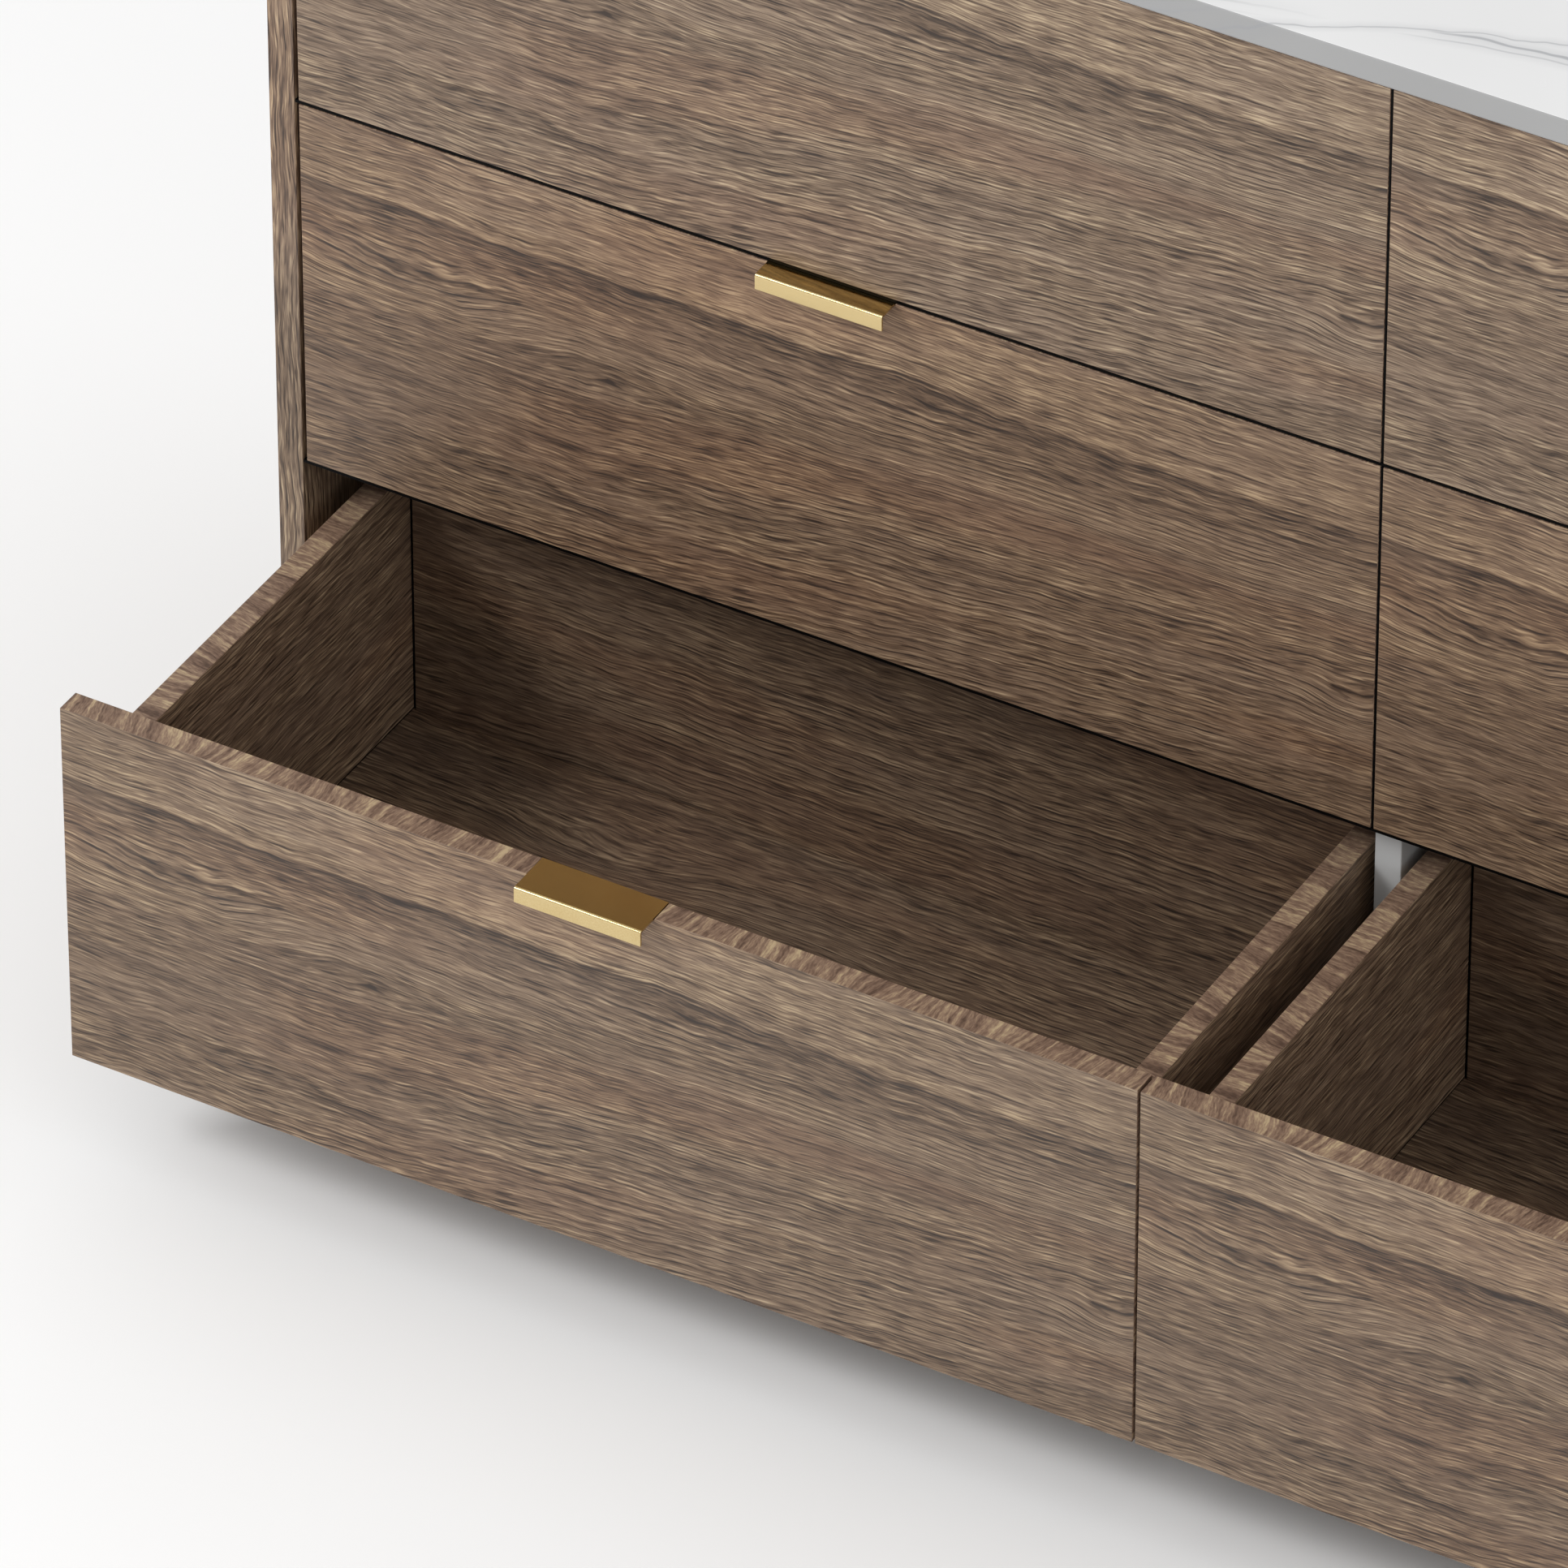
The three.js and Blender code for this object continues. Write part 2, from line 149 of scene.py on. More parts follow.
class Shader:
    """A node material with one Principled BSDF, and short calls for the nodes that feed it."""

    def __init__(self, name, **sockets):
        self.material = bpy.data.materials.new(name)
        self.material.use_nodes = True
        self.tree = self.material.node_tree
        self.tree.nodes.clear()
        self.bsdf = self.node("ShaderNodeBsdfPrincipled")
        output = self.node("ShaderNodeOutputMaterial")
        self.tree.links.new(self.bsdf.outputs["BSDF"], output.inputs["Surface"])
        for socket, value in sockets.items():
            self.bsdf.inputs[socket.replace("_", " ")].default_value = value

    def node(self, kind, **settings):
        made = self.tree.nodes.new(kind)
        for key, value in settings.items():
            setattr(made, key, value)
        return made

    def put(self, socket, value):
        if isinstance(value, bpy.types.NodeSocket):
            self.tree.links.new(value, socket)
        else:
            socket.default_value = value

    def math(self, operation, *values, clamp=False):
        made = self.node("ShaderNodeMath", operation=operation, use_clamp=clamp)
        for socket, value in zip(made.inputs, values):
            self.put(socket, value)
        return made.outputs[0]

    def add(self, *values):
        total = values[0]
        for value in values[1:]:
            total = self.math("ADD", total, value)
        return total

    def times(self, a, b):
        return self.math("MULTIPLY", a, b)

    def swing(self, value, size):
        """A 0-1 value as a signed change of up to half of size."""
        return self.math("MULTIPLY_ADD", value, size, -size / 2)

    def vector(self, x, y, z=0.0):
        made = self.node("ShaderNodeCombineXYZ")
        for socket, value in zip(made.inputs, (x, y, z)):
            self.put(socket, value)
        return made.outputs[0]

    def noise(self, u, v, scale_u, scale_v, detail=2.0, roughness=0.5, seed=0.0):
        """2-D noise whose grains are 1 / scale_u long and 1 / scale_v wide, in metres."""
        made = self.node("ShaderNodeTexNoise", noise_dimensions="2D")
        place = self.vector(
            self.math("MULTIPLY_ADD", u, scale_u, seed),
            self.math("MULTIPLY_ADD", v, scale_v, seed * 1.7),
        )
        self.put(made.inputs["Vector"], place)
        made.inputs["Scale"].default_value = 1.0
        made.inputs["Detail"].default_value = detail
        made.inputs["Roughness"].default_value = roughness
        return made.outputs["Fac"]

    def solid_noise(self, place, scale, detail=2.0, roughness=0.5):
        made = self.node("ShaderNodeTexNoise", noise_dimensions="3D")
        self.put(made.inputs["Vector"], place)
        made.inputs["Scale"].default_value = scale
        made.inputs["Detail"].default_value = detail
        made.inputs["Roughness"].default_value = roughness
        return made.outputs["Fac"]

    def remap(self, value, low, high, to_low=0.0, to_high=1.0):
        made = self.node("ShaderNodeMapRange", interpolation_type="SMOOTHSTEP")
        for socket, number in zip(made.inputs, (value, low, high, to_low, to_high)):
            self.put(socket, number)
        return made.outputs[0]

    def ramp(self, value, stops):
        """stops are (place, tone) with a grey tone, or (place, (r, g, b)) in screen values."""
        made = self.node("ShaderNodeValToRGB")
        self.put(made.inputs[0], value)
        elements = made.color_ramp.elements
        while len(elements) < len(stops):
            elements.new(0.5)
        for element, (place, tone) in zip(elements, stops):
            element.position = place
            rgb = (tone,) * 3 if isinstance(tone, float) else linear(tone)
            element.color = (*rgb, 1.0)
        return made.outputs["Color"]

    def mix(self, factor, a, b, blend="MIX"):
        made = self.node("ShaderNodeMix", data_type="RGBA", blend_type=blend)
        self.put(made.inputs["Factor"], factor)
        for socket, value in zip((made.inputs[6], made.inputs[7]), (a, b)):
            self.put(socket, (*linear(value), 1.0) if isinstance(value, tuple) else value)
        return made.outputs[2]

    def grain(self):
        """The (u, v) sockets of the mesh's "grain" map: metres along and across the grain."""
        split = self.node("ShaderNodeSeparateXYZ")
        grain = self.node("ShaderNodeUVMap", uv_map="grain")
        self.put(split.inputs[0], grain.outputs[0])
        return split.outputs[0], split.outputs[1]

    def place(self):
        return self.node("ShaderNodeTexCoord").outputs["Object"]

    def bump(self, height, strength, distance):
        made = self.node("ShaderNodeBump")
        self.put(made.inputs["Height"], height)
        made.inputs["Strength"].default_value = strength
        made.inputs["Distance"].default_value = distance
        self.put(self.bsdf.inputs["Normal"], made.outputs[0])

    def finish(self, colour, roughness):
        self.put(self.bsdf.inputs["Base Color"], colour)
        self.put(self.bsdf.inputs["Roughness"], roughness)
        return self.material


# ---- Materials ----
WALNUT = (
    (0.00, (52, 38, 29)), (0.22, (86, 68, 53)), (0.42, (113, 93, 76)),
    (0.56, (131, 110, 91)), (0.74, (154, 133, 110)), (1.00, (192, 171, 143)),
)
EDGE_WALNUT = (
    (0.00, (80, 59, 46)), (0.30, (111, 87, 71)), (0.50, (130, 105, 87)),
    (0.68, (149, 124, 101)), (1.00, (184, 162, 128)),
)
# Broad light and dark bands across a drawer front, from its lower edge to its top edge.
FRONT_BANDS = (
    (0.00, 0.46), (0.10, 0.54), (0.20, 0.45), (0.31, 0.50), (0.44, 0.46), (0.527, 0.36),
    (0.537, 0.62), (0.60, 0.56), (0.69, 0.50), (0.76, 0.38), (0.792, 0.26), (0.801, 0.02),
    (0.808, 0.84), (0.86, 0.66), (0.94, 0.62), (1.00, 0.66),
)
FRONT_HEIGHT = 266 * MM
# Eyes in the figure of a drawer front: (u, v, half length, half width, how far the grain bows round them).
FRONT_EYES = (
    (0.070, 0.158, 0.085, 0.020, 0.011), (0.200, 0.150, 0.060, 0.018, -0.008),
    (0.728, 0.082, 0.030, 0.020, 0.013), (0.430, 0.215, 0.045, 0.012, -0.0035),
    (0.400, 0.176, 0.120, 0.018, 0.006), (0.640, 0.165, 0.080, 0.020, 0.006),
)
FLOOR_EYES = ((0.185, 0.262, 0.075, 0.022, 0.017), (0.285, 0.236, 0.080, 0.018, -0.011))
FRONT_RISE = 0.085  # slope of the grain in the lower right of a drawer front
# Painted shade: what each row's veneer is multiplied by, in screen values, so that the lower rows are a
# little darker.
ROW_PAINTED_SHADE = {"bottom": (236, 232, 227), "middle": (242, 233, 225), "top": None}
# Noise layers of walnut: (grains per metre along, grains per metre across, detail, roughness, seed).
WALNUT_NOISE = {
    "drift": (2.1, 6.5, 1.0, 0.45, 3.1),
    "ripple": (15.0, 16.0, 2.0, 0.5, 8.7),
    "wobble": (55.0, 120.0, 1.0, 0.5, 0.9),
    "ring_drift": (1.1, 9.0, 1.0, 0.5, 1.9),
    "line_drift": (2.0, 30.0, 1.0, 0.5, 5.3),
    "line_places": (3.1, 12.0, 2.0, 0.5, 11.0),
    "streaks": (7.0, 200.0, 1.0, 0.5, 2.3),
    "strands": (7.0, 430.0, 2.0, 0.55, 15.2),
    "fibres": (40.0, 760.0, 2.0, 0.58, 6.1),
    "coarse": (5.0, 22.0, 2.0, 0.5, 13.0),
    "pores": (44.0, 800.0, 1.0, 0.5, 7.9),
    "flecks": (40.0, 700.0, 1.0, 0.5, 12.4),
    "patches": (3.0, 13.0, 1.0, 0.5, 4.7),
    "smudges": (6.0, 48.0, 2.0, 0.5, 9.2),
}
DRIFT_REACH = 0.016  # how far the grain drifts sideways
LINE_SPACING = 0.0060  # between the fine dark lines of the grain
# Tones across one growth ring, and across one fine line and the wood between it and the next.
RING_TONES = ((0.0, 0.86), (0.05, 0.66), (0.40, 0.52), (0.80, 0.40), (0.965, 0.06), (1.0, 0.84))
LINE_TONES = ((0.0, 0.68), (0.30, 0.62), (0.72, 0.52), (0.93, 0.02), (0.97, 0.60))
WARM_TINT = (150, 104, 84)
OLIVE_TINT = (134, 124, 84)


def walnut(name, bands=None, eyes=(), rise=0.0, seed=0.0, shade=None, ring=0.046):
    """Lacquered walnut veneer, grain along u: wavy growth rings, fine streaks, pores and patches."""
    s = Shader(name, Specular_IOR_Level=0.60)
    u, v = s.grain()

    def layer(kind, across):
        scale_u, scale_v, detail, roughness, offset = WALNUT_NOISE[kind]
        return s.noise(u, across, scale_u, scale_v, detail, roughness, seed + offset)

    bows = [
        v,
        s.swing(layer("drift", v), DRIFT_REACH),
        s.swing(layer("ripple", v), 0.0070),
        s.swing(layer("wobble", v), 0.0011),
    ]
    if rise:
        climb = s.math("MAXIMUM", s.add(u, -0.20), 0.0)
        bows.append(s.times(s.times(climb, -rise), s.remap(v, 0.11, 0.20, 1.0, 0.0)))
    for eye_u, eye_v, long, high, bow in eyes:
        du = s.times(s.add(u, -eye_u), 1 / long)
        dv = s.times(s.add(v, -eye_v), 1 / high)
        near = s.math("EXPONENT", s.times(s.add(s.times(du, du), s.times(dv, dv)), -1.0))
        bows.append(s.times(near, bow))
    wavy = s.add(*bows)

    ring_phase = s.add(s.times(wavy, 1 / ring), s.swing(layer("ring_drift", wavy), 2.0))
    rings = s.ramp(s.math("FRACT", ring_phase), RING_TONES)
    line_phase = s.add(s.times(wavy, 1 / LINE_SPACING), s.swing(layer("line_drift", wavy), 2.0))
    lines = s.ramp(s.math("FRACT", line_phase), LINE_TONES)
    lines_shown = s.remap(layer("line_places", v), 0.34, 0.60)
    streaks = layer("streaks", wavy)
    strands = layer("strands", wavy)
    fibres = layer("fibres", wavy)
    coarse = s.remap(layer("coarse", v), 0.35, 0.62, 0.85, 1.30)
    pores = s.remap(layer("pores", wavy), 0.57, 0.66)
    flecks = s.remap(layer("flecks", wavy), 0.58, 0.68)
    patches = layer("patches", wavy)
    smudges = s.remap(layer("smudges", wavy), 0.63, 0.75)

    parts = [
        0.5,
        s.swing(rings, 0.26),
        s.times(s.swing(lines, 0.78), lines_shown),
        s.swing(streaks, 0.12),
        s.swing(strands, 0.56),
        s.times(s.swing(fibres, 1.0), coarse),
        s.swing(patches, 0.18),
        s.times(pores, -0.24),
        s.times(flecks, 0.18),
        s.times(smudges, -0.10),
    ]
    if bands:
        parts.append(s.swing(s.ramp(s.times(wavy, 1 / FRONT_HEIGHT), bands), 0.66))
    tone = s.add(*parts)
    colour = s.ramp(tone, WALNUT)
    colour = s.mix(s.remap(patches, 0.45, 0.7, 0.0, 0.24), colour, WARM_TINT, "SOFT_LIGHT")
    colour = s.mix(s.remap(coarse, 0.9, 1.3, 0.0, 0.15), colour, OLIVE_TINT, "SOFT_LIGHT")
    # Multiplies the colour: painted shade on the lower rows' fronts, painted light on the box sides, and
    # the board's own tone on the other boards.
    if shade:
        colour = s.mix(1.0, colour, shade, "MULTIPLY")
    height = s.add(s.times(streaks, 0.4), s.times(fibres, 0.8), s.times(pores, -0.5))
    s.bump(height, 0.35, 0.25 * MM)
    return s.finish(colour, s.remap(streaks, 0.2, 0.8, 0.60, 0.46))


def walnut_edge(name, seed):
    """The cut edge of a board: short grain across the edge, in uneven stripes that lean and fan out."""
    s = Shader(name, Specular_IOR_Level=0.4)
    across, along = s.grain()
    lean = s.swing(s.noise(along, along, 11.0, 11.0, 0.0, 0.5, seed + 2.2), 0.9)
    jitter = s.swing(s.noise(across, along, 70.0, 60.0, 2.0, 0.5, seed), 0.003)
    bent = s.add(along, s.times(across, lean), jitter)
    broad = s.noise(across, bent, 10.0, 46.0, 1.0, 0.5, seed + 1.0)
    stripes = s.noise(across, bent, 24.0, 260.0, 2.0, 0.55, seed + 3.0)
    fine = s.noise(across, bent, 190.0, 820.0, 2.0, 0.6, seed + 5.0)
    pale = s.remap(s.noise(across, bent, 8.0, 130.0, 1.0, 0.5, seed + 7.0), 0.62, 0.72)
    tone = s.add(
        0.48, s.swing(broad, 0.70), s.swing(stripes, 1.35), s.swing(fine, 0.9), s.times(pale, 0.22),
    )
    colour = s.ramp(tone, EDGE_WALNUT)
    s.bump(s.add(stripes, fine), 0.3, 0.25 * MM)
    return s.finish(colour, s.remap(stripes, 0.2, 0.8, 0.66, 0.5))


# Veins of the counter: (slope, spacing, offset, half width, strength, how far they wander).
VEINS = (
    (0.235, 0.262, 0.064, 0.0013, 0.9, 1.0), (0.39, 0.47, -0.092, 0.0009, 0.65, 1.3),
    (0.255, 0.39, -0.128, 0.0009, 0.55, 0.8),
)


def stone(name, tone):
    """White marble-look slab with thin grey veins that run at a slant and branch."""
    s = Shader(name, Specular_IOR_Level=0.5, Coat_Weight=0.25, Coat_Roughness=0.12)
    place = s.place()
    split = s.node("ShaderNodeSeparateXYZ")
    s.put(split.inputs[0], place)
    x, y, z = split.outputs
    broad = s.solid_noise(place, 3.2, 3.0, 0.55)
    small = s.solid_noise(place, 14.0, 3.0, 0.6)
    warp = s.add(s.swing(broad, 0.06), s.swing(small, 0.012))
    parts = []
    for slope, spacing, offset, width, strength, bend in VEINS:
        run = s.add(y, s.times(x, -slope), s.times(z, 0.6), s.times(warp, bend), offset)
        ratio = s.math("FRACT", s.times(run, 1 / spacing))
        distance = s.times(s.math("ABSOLUTE", s.math("SUBTRACT", ratio, 0.5)), spacing)
        thin = s.remap(distance, width * 0.3, width * 1.6, 0.85, 0.0)
        halo = s.remap(distance, 0.0, width * 9, 0.26, 0.0)
        fade = s.remap(s.solid_noise(place, 5.0 + 3 * slope, 2.0), 0.34, 0.54)
        parts.append(s.times(s.times(s.math("MAXIMUM", thin, halo), fade), strength))
    vein = s.math("MAXIMUM", s.math("MAXIMUM", parts[0], parts[1]), parts[2])
    cloud = s.remap(broad, 0.35, 0.7)
    base = s.mix(cloud, tuple(tone - 6 for _ in range(3)), tuple(tone + 2 for _ in range(3)))
    colour = s.mix(vein, base, (150, 152, 156))
    return s.finish(colour, s.remap(small, 0.3, 0.7, 0.20, 0.28))


def grey_board():
    """Light grey laminate with a faint cloudy tone and a fine pebbled surface."""
    s = Shader("grey_board", Specular_IOR_Level=0.5)
    place = s.place()
    cloud = s.solid_noise(place, 9.0, 3.0, 0.6)
    pebble = s.solid_noise(place, 900.0, 2.0, 0.5)
    colour = s.mix(s.remap(cloud, 0.3, 0.7), (196, 197, 197), (208, 209, 209))
    s.bump(pebble, 0.08, 0.1 * MM)
    return s.finish(colour, s.remap(s.add(s.swing(cloud, 0.6), pebble), 0.3, 0.7, 0.30, 0.42))


def brass(name, low, high, worn):
    """Satin gold brass, brushed along the pull, with faint mottling."""
    s = Shader(name, Metallic=1.0)
    place = s.place()
    split = s.node("ShaderNodeSeparateXYZ")
    s.put(split.inputs[0], place)
    x, y, z = split.outputs
    brushed = s.noise(x, s.add(y, z), 30.0, 2600.0, 2.0, 0.5, 4.0)
    mottle = s.solid_noise(place, 900.0, 2.0, 0.5)
    wear = s.solid_noise(place, 45.0, 2.0, 0.5)
    colour = s.mix(s.remap(mottle, 0.3, 0.7), low, high)
    colour = s.mix(s.remap(wear, 0.5, 0.75, 0.0, 0.25), colour, worn)
    s.bump(s.add(brushed, mottle), 0.05, 0.03 * MM)
    return s.finish(colour, s.remap(s.add(s.swing(brushed, 0.5), mottle), 0.3, 0.7, 0.10, 0.18))


def zinc(name="zinc_steel", low=(150, 154, 158), high=(184, 187, 190)):
    """Zinc-plated sheet steel: cold grey with a soft crystalline bloom."""
    s = Shader(name, Metallic=1.0)
    place = s.place()
    bloom = s.solid_noise(place, 160.0, 3.0, 0.6)
    scratch = s.solid_noise(place, 1500.0, 2.0, 0.5)
    colour = s.mix(s.remap(bloom, 0.3, 0.7), low, high)
    s.bump(s.add(bloom, scratch), 0.08, 0.08 * MM)
    return s.finish(colour, s.remap(bloom, 0.3, 0.7, 0.30, 0.46))


def plastic(name, low, high, gloss=0.45):
    """Moulded plastic with a fine sparked texture."""
    s = Shader(name, Specular_IOR_Level=gloss)
    place = s.place()
    spark = s.solid_noise(place, 2200.0, 2.0, 0.6)
    cloud = s.solid_noise(place, 60.0, 2.0, 0.5)
    s.bump(spark, 0.12, 0.06 * MM)
    colour = s.mix(s.remap(cloud, 0.3, 0.7), low, high)
    return s.finish(colour, s.remap(spark, 0.3, 0.7, 0.38, 0.52))


def pale_floor():
    s = Shader("pale_floor", Specular_IOR_Level=0.2)
    cloud = s.solid_noise(s.place(), 0.8, 2.0, 0.5)
    colour = s.mix(s.remap(cloud, 0.3, 0.7), (246, 246, 246), (250, 250, 250))
    return s.finish(colour, s.remap(cloud, 0.3, 0.7, 0.75, 0.85))


veneers = {
    row: walnut(f"walnut_veneer_{row}_front", FRONT_BANDS, FRONT_EYES, FRONT_RISE, shade=tone)
    for row, tone in ROW_PAINTED_SHADE.items()
}
veneer_edge = walnut_edge("walnut_veneer_edge", seed=3.0)
panel = walnut("walnut_veneer_panel", seed=21.0, ring=0.030)
interior = walnut("walnut_interior", eyes=FLOOR_EYES, seed=40.0, ring=0.040, shade=(216, 210, 205))
# Painted light: the box sides are made lighter than the other inner boards, as if more light fell on their
# inner faces.
box_side_painted_light = walnut("walnut_box_side", seed=46.0, ring=0.034, shade=(274, 271, 268))
interior_edge = walnut_edge("walnut_interior_edge", seed=17.0)
foot_wood = walnut("solid_walnut", seed=60.0, ring=0.012, shade=(190, 178, 168))
white_stone = stone("white_stone", 232)
# Painted shade: a darker copy of the stone for the slab's edges.
stone_edge_painted_shade = stone("stone_edge_painted_shade", 163)
divider_board = grey_board()
satin_brass = brass("satin_brass", (212, 188, 136), (219, 197, 147), (203, 175, 118))
# Painted shade: a darker copy of the brass for the pull's plate, which faces up.
plate_brass_painted_shade = brass("plate_brass_painted_shade", (182, 153, 95), (188, 161, 104), (172, 141, 82))
zinc_steel = zinc()
screw_steel = zinc("screw_steel", (120, 122, 124), (158, 160, 162))
black_plastic = plastic("black_plastic", (26, 26, 27), (36, 36, 37))
# Painted shade: a near-black material for the strips and beads that stand in for shadow in gaps and joints.
painted_shade_black = plastic("painted_shade_black", (6, 6, 6), (10, 9, 9), gloss=0.05)
white_nylon = plastic("white_nylon", (206, 206, 202), (222, 222, 219))


# ---- Mesh helpers ----
def prism(outline, axis, start, end):
    """A solid of an outline in the two other axes, from start to end along axis."""
    bm = bmesh.new()
    others = [a for a in (X, Y, Z) if a != axis]

    def ring(level):
        made = []
        for point in outline:
            co = [0.0, 0.0, 0.0]
            co[others[0]], co[others[1]], co[axis] = point[0], point[1], level
            made.append(bm.verts.new(co))
        return made

    low, high = ring(start), ring(end)
    bm.faces.new(low)
    bm.faces.new(high)
    count = len(outline)
    for i in range(count):
        j = (i + 1) % count
        bm.faces.new((low[i], low[j], high[j], high[i]))
    bmesh.ops.recalc_face_normals(bm, faces=bm.faces)
    return bm


def rectangle(low, high):
    return [(low[0], low[1]), (high[0], low[1]), (high[0], high[1]), (low[0], high[1])]


def add_block(bm, low, high):
    """Adds a plain block between two corners."""
    made = bmesh.ops.create_cube(bm, size=1.0)["verts"]
    for vert in made:
        vert.co = [low[a] if vert.co[a] < 0 else high[a] for a in (X, Y, Z)]


def soften(bm, width, segments=2, keep=None):
    """Rounds the convex sharp edges, or those of them that keep accepts."""
    sharp = math.radians(SHARP_ANGLE)
    edges = [e for e in bm.edges if e.is_convex and e.calc_face_angle(0.0) > sharp]
    if keep:
        edges = [e for e in edges if keep(e)]
    bmesh.ops.bevel(
        bm, geom=edges, offset=width, segments=segments, profile=0.5, affect="EDGES", clamp_overlap=True,
    )


def lay_grain(bm, along, thick, origin, edge="cross"):
    """Writes the "grain" map: u along the grain and v across it, in metres from origin.

    Broad faces get material 0 and the board's edges material 1. With edge="cross" the grain of a long
    edge runs across the board's thickness, and with edge="along" it follows the board.
    """
    layer = bm.loops.layers.uv.new("grain")
    wide = 3 - along - thick
    for face in bm.faces:
        sizes = [abs(c) for c in face.normal]
        main = sizes.index(max(sizes))
        if main == thick:
            pair = (along, wide)
        elif main == along:
            pair = (thick, wide)
        else:
            pair = (thick, along) if edge == "cross" else (along, thick)
        face.material_index = 0 if main == thick or edge == "along" else 1
        for loop in face.loops:
            place = loop.vert.co - origin
            loop[layer].uv = (place[pair[0]], place[pair[1]])


def piece(name, bm, materials, body, slot, *nodes, round_under=None):
    """Makes the object, sets what it rides on and the nodes that it stands for. The slot argument is not
    used.
    """
    mesh = bpy.data.meshes.new(name)
    bm.to_mesh(mesh)
    bm.free()
    for material in materials:
        mesh.materials.append(material)
    made = bpy.data.objects.new(name, mesh)
    bpy.context.scene.collection.objects.link(made)
    if round_under:
        for polygon in mesh.polygons:
            polygon.use_smooth = True
        mesh.set_sharp_from_angle(angle=math.radians(round_under))
        even = made.modifiers.new("even_shading", "WEIGHTED_NORMAL")
        even.keep_sharp = True
    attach(made, body)
    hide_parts(*nodes)


def bent_sheet(path, thickness, inner_radius, steps=6):
    """The outline of a bent sheet whose middle follows path, with round bends."""
    half = thickness / 2
    middle_radius = inner_radius + half
    points = [Vector(p) for p in path]
    left, right = [], []

    def both(point, normal):
        left.append(point + normal * half)
        right.append(point - normal * half)

    first = (points[1] - points[0]).normalized()
    both(points[0], Vector((-first.y, first.x)))
    for before, corner, after in zip(points, points[1:], points[2:]):
        way_in = (corner - before).normalized()
        way_out = (after - corner).normalized()
        turn = way_in.x * way_out.y - way_in.y * way_out.x
        side = 1 if turn > 0 else -1
        angle = way_in.angle(way_out)
        normal = Vector((-way_in.y, way_in.x)) * side
        tangent = middle_radius * math.tan(angle / 2)
        centre = corner - way_in * tangent + normal * middle_radius
        for step in range(steps + 1):
            swept = Matrix.Rotation(side * angle * step / steps, 2) @ normal
            both(centre - swept * middle_radius, swept * side)
    last = (points[-1] - points[-2]).normalized()
    both(points[-1], Vector((-last.y, last.x)))
    return [tuple(p) for p in left + right[::-1]]


def lathe(bm, profile, centre, axis, sign, sides, index=0, unit=MM):
    """Adds a turned solid: profile is (radius, height) from its bottom centre to its top centre."""
    others = [a for a in (X, Y, Z) if a != axis]
    rings = []
    for radius, height in ((r * unit, h * unit) for r, h in profile):
        ring = []
        for step in range(sides if radius > 0 else 1):
            angle = 2 * math.pi * step / sides
            co = list(centre)
            co[others[0]] += radius * math.cos(angle)
            co[others[1]] += radius * math.sin(angle)
            co[axis] += sign * height
            ring.append(bm.verts.new(co))
        rings.append(ring)
    faces = []
    for low, high in zip(rings, rings[1:]):
        for i in range(sides):
            j = (i + 1) % sides
            corners = [low[i % len(low)], low[j % len(low)], high[j % len(high)], high[i % len(high)]]
            unique = list(dict.fromkeys(corners))
            faces.append(bm.faces.new(unique))
    bmesh.ops.recalc_face_normals(bm, faces=faces)
    for face in faces:
        face.material_index = index


def screw(bm, centre, axis, sign, size, index=0):
    """A pan head with a socket."""
    lathe(bm, SCREW_HEAD, centre, axis, sign, 18, index, size * MM)


# ---- Carcass ----
def plain_board(name, materials, along, thick, body, slot, edge="cross", bevel=BOARD_BEVEL, trim=0.0):
    """A square-cut board in the place of its node, made shorter at both ends by trim."""
    low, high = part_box(name)
    low.x += trim
    high.x -= trim
    bm = prism(rectangle((low.x, low.z), (high.x, high.z)), Y, low.y, high.y)
    soften(bm, bevel)
    lay_grain(bm, along, thick, low, edge)
    piece(f"{name}_board", bm, materials, body, slot, name)


def side_panels():
    for side, _ in SIDES:
        plain_board(
            f"{side}_side_panel", (panel, panel), Z, X, "carcass", "walnut_veneer", "along", FRONT_BEVEL,
        )


def centre_divider():
    """The grey board between the columns, notched for the top rail."""
    low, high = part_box("centre_divider")
    notch_y = low.y + TOP_RAIL_DEPTH + JOINT_GAP
    notch_z = high.z - PANEL_THICKNESS - JOINT_GAP
    outline = [
        (low.y, low.z), (high.y, low.z), (high.y, high.z),
        (notch_y, high.z), (notch_y, notch_z), (low.y, notch_z),
    ]
    bm = prism(outline, X, low.x, high.x)
    soften(bm, BOARD_BEVEL)
    piece("centre_divider_board", bm, (divider_board,), "carcass", "grey_board", "centre_divider")


def counter():
    low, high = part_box("countertop")
    bm = prism(rectangle((low.x, low.z), (high.x, high.z)), Y, low.y, high.y)
    soften(bm, STONE_BEVEL, 3)
    lay_grain(bm, X, Z, low)
    # The slab's edges take the darker stone, which is painted shade.
    piece("countertop_slab", bm, (white_stone, stone_edge_painted_shade), "carcass", "white_stone", "countertop")


def rounded_hole(centre_x, steps=6):
    half = HOLE_SIZE[0] / 2 - HOLE_RADIUS
    lower = HOLE_BOTTOM + HOLE_RADIUS
    upper = HOLE_BOTTOM + HOLE_SIZE[1] - HOLE_RADIUS
    corners = ((half, lower, -90), (half, upper, 0), (-half, upper, 90), (-half, lower, 180))
    points = []
    for x, z, start in corners:
        for step in range(steps + 1):
            angle = math.radians(start + 90 * step / steps)
            across = HOLE_RADIUS * math.cos(angle)
            rise = HOLE_RADIUS * math.sin(angle)
            points.append((centre_x + x + across, z + rise))
    return points


